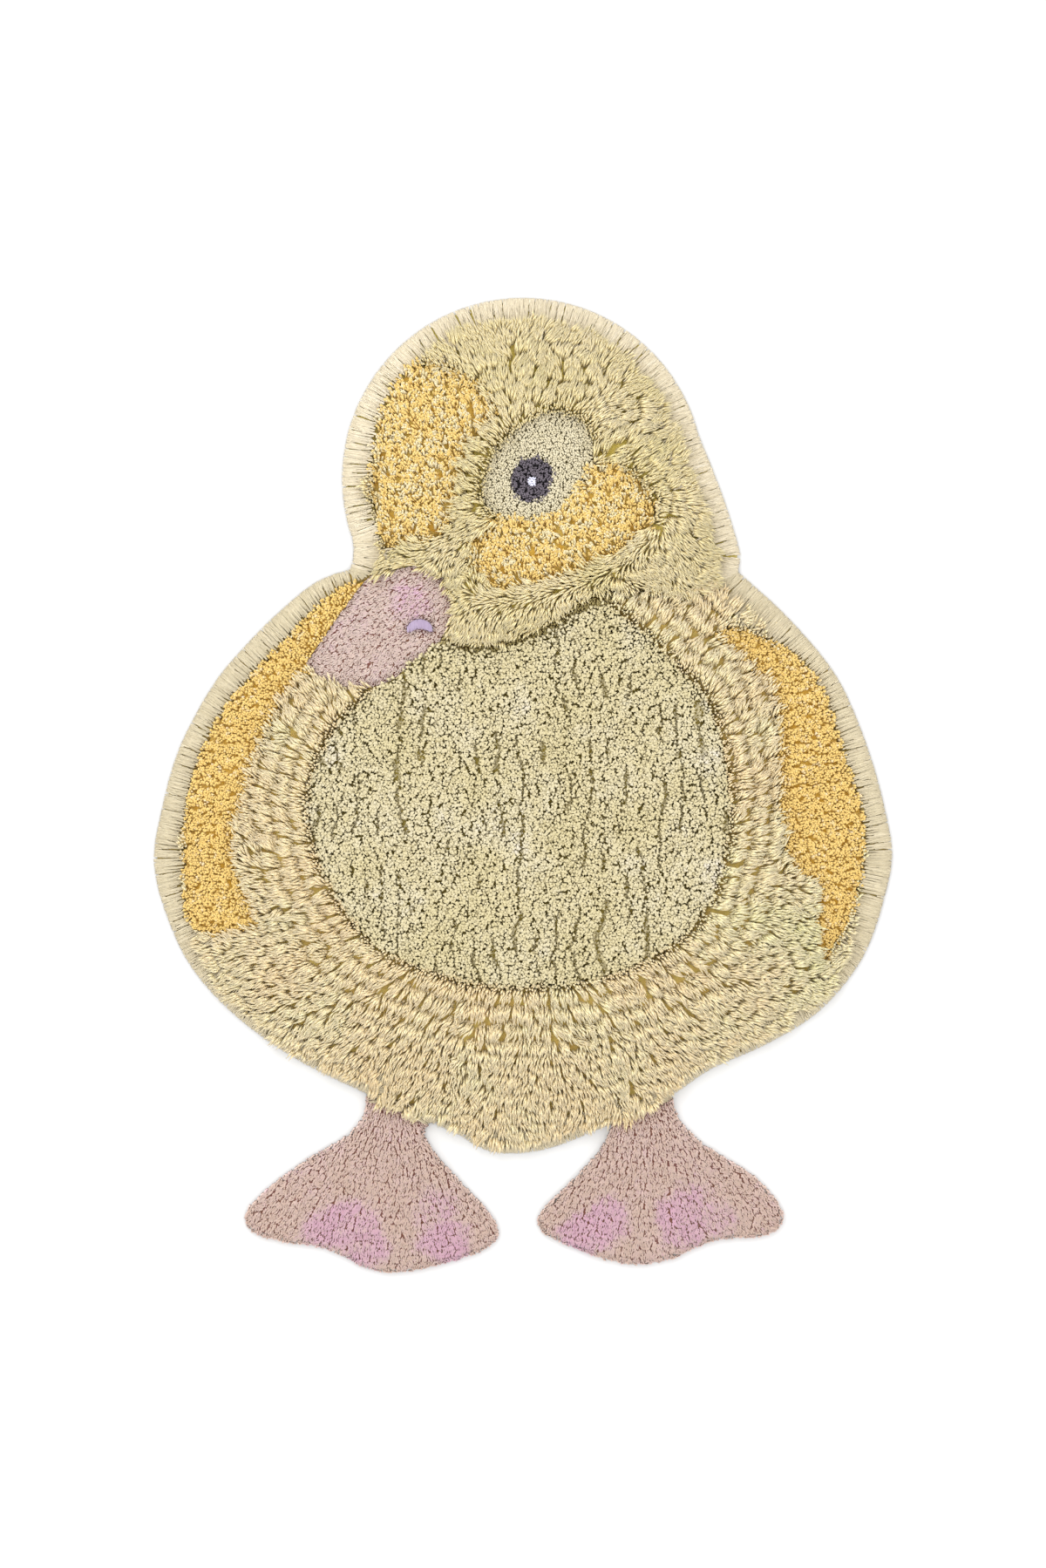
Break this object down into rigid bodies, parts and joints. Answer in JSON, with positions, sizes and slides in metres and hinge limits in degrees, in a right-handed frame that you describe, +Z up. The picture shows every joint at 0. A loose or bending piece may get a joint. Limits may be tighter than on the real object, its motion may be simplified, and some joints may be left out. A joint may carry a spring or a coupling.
{
  "type": "animal shaped kids rug",
  "caption": "Flat tufted cotton rug with the outline of a duckling, its head turned to the side, with shag, short pile and plush fields in cream, yellow and pink.",
  "frame": {"origin": "on the surface that the rug rests on, under the middle of the rug's box", "axes": "+Y towards the head, +X to the viewer's right when the head is up, +Z up out of the pile"},
  "size_m": [1.1, 1.4498, 0.03],
  "materials": {
    "ground_cotton": "unbleached plain woven cotton",
    "head_yarn": "long cut cotton pile, pale yellow green",
    "body_yarn": "long cut cotton pile, cream",
    "belly_yarn": "cut cotton pile on end, pale greenish cream",
    "neck_yarn": "cut cotton pile, grey olive",
    "wing_yarn": "cut cotton pile, warm yellow",
    "face_yarn": "cut cotton pile, yellow heathered with cream",
    "eye_patch_yarn": "short cut cotton pile, cream",
    "pupil_yarn": "short cut cotton pile, charcoal",
    "glint_yarn": "short cut cotton pile, white",
    "plush_yarn": "dense fine cut pile, dusty pink beige, with rosier patches",
    "stitch_thread": "padded satin stitch in lilac thread, soft sheen"
  },
  "bodies": {
    "root": {"ground_cloth": "ground_cotton", "head_shag": "head_yarn", "body_shag": "body_yarn", "belly_pile": "belly_yarn", "neck_pile": "neck_yarn", "left_wing_pile": "wing_yarn", "right_wing_pile": "wing_yarn", "forehead_pile": "face_yarn", "cheek_pile": "face_yarn", "eye_patch_pile": "eye_patch_yarn", "pupil_pile": "pupil_yarn", "eye_glint": "glint_yarn", "beak_pile": "plush_yarn", "nostril_stitch": "stitch_thread", "left_foot_pile": "plush_yarn", "right_foot_pile": "plush_yarn"}
  },
  "joints": []
}
